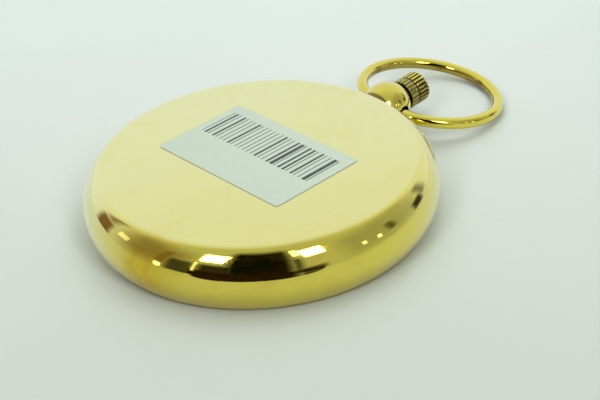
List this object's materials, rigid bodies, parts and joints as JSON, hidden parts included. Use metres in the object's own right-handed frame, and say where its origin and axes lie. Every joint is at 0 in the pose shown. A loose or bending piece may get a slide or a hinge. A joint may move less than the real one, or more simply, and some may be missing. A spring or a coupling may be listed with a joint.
{
  "type": "pocket compass",
  "caption": "Open-face brass pocket compass on its glass, with a flat back, a ball pendant, a fluted push crown that lifts the needle, and a wire carrying bow.",
  "frame": {"origin": "centre of the glass's flat outer face, on the axis that the needle turns about", "axes": "+Z out of the back of the case, +Y out along the pendant towards the bow, +X to the right of the bow seen from the back"},
  "size_m": [0.082, 0.12, 0.0151],
  "materials": {
    "polished_brass": "mirror polished yellow brass with faint handling smudges",
    "plain_brass": "turned brass, as machined",
    "bright_steel": "bright turned steel",
    "crystal_glass": "clear bevelled glass",
    "dial_enamel": "satin white enamel with black print",
    "needle_paint": "blue and red lacquer on steel",
    "agate": "polished agate",
    "label_paper": "coated thermal paper with grey bars"
  },
  "bodies": {
    "case": {"back_case": "polished_brass", "bezel": "polished_brass", "crystal": "crystal_glass", "crystal_ring": "polished_brass", "degree_ring": "dial_enamel", "dial_plate": "dial_enamel", "base_plate": "plain_brass", "dial_pillar_1": "plain_brass", "dial_pillar_2": "plain_brass", "dial_pillar_3": "plain_brass", "dial_screw_1": "bright_steel", "dial_screw_2": "bright_steel", "dial_screw_3": "bright_steel", "pivot_post": "plain_brass", "pivot_point": "bright_steel", "lever_pin": "bright_steel", "lever_bracket": "plain_brass", "bracket_screw_1": "bright_steel", "bracket_screw_2": "bright_steel", "lever_spring": "bright_steel", "spring_screw": "bright_steel", "pendant": "polished_brass", "stem_bush": "plain_brass", "crown_spring": "bright_steel", "paper_label": "label_paper"},
    "bow": {"bow_ring": "polished_brass"},
    "crown_slide": {"thrust_washer": "plain_brass"},
    "crown": {"crown": "polished_brass", "stem": "bright_steel", "stem_clip": "bright_steel"},
    "lever": {"lifter_lever": "plain_brass"},
    "collar": {"lifting_collar": "plain_brass"},
    "needle": {"needle": "needle_paint", "needle_cap": "polished_brass", "needle_jewel": "agate", "balance_weight": "plain_brass"}
  },
  "joints": [
    {"name": "bow_swing", "type": "hinge", "parent": "case", "child": "bow", "pos_m": [0, 0.0449, 0.0073], "axis": [0.9934, -0.0677, -0.0931], "range_deg": [-124, 142]},
    {"name": "crown_push", "type": "slide", "parent": "case", "child": "crown_slide", "axis": [0, -1, 0], "range_m": [0, 0.0006], "stiffness_N_per_m": 800, "deforming": ["crown_spring"]},
    {"name": "crown_turn", "type": "hinge", "parent": "crown_slide", "child": "crown", "pos_m": [0, 0.0545, 0.0073], "axis": [0, 1, 0], "continuous": true},
    {"name": "lever_rock", "type": "hinge", "parent": "case", "child": "lever", "pos_m": [0, 0.02, 0.00832], "axis": [1, 0, 0], "range_deg": [0, 1.44]},
    {"name": "collar_lift", "type": "slide", "parent": "case", "child": "collar", "axis": [0, 0, -1], "range_m": [0, 0.000502]},
    {"name": "needle_turn", "type": "hinge", "parent": "collar", "child": "needle", "pos_m": [0, 0, 0.00345], "axis": [0, 0, 1], "continuous": true}
  ],
  "couplings": [
    {"joint": "lever_rock", "follows": "crown_push", "rad_per_m": 41.667},
    {"joint": "collar_lift", "follows": "crown_push", "ratio": 0.83333}
  ]
}
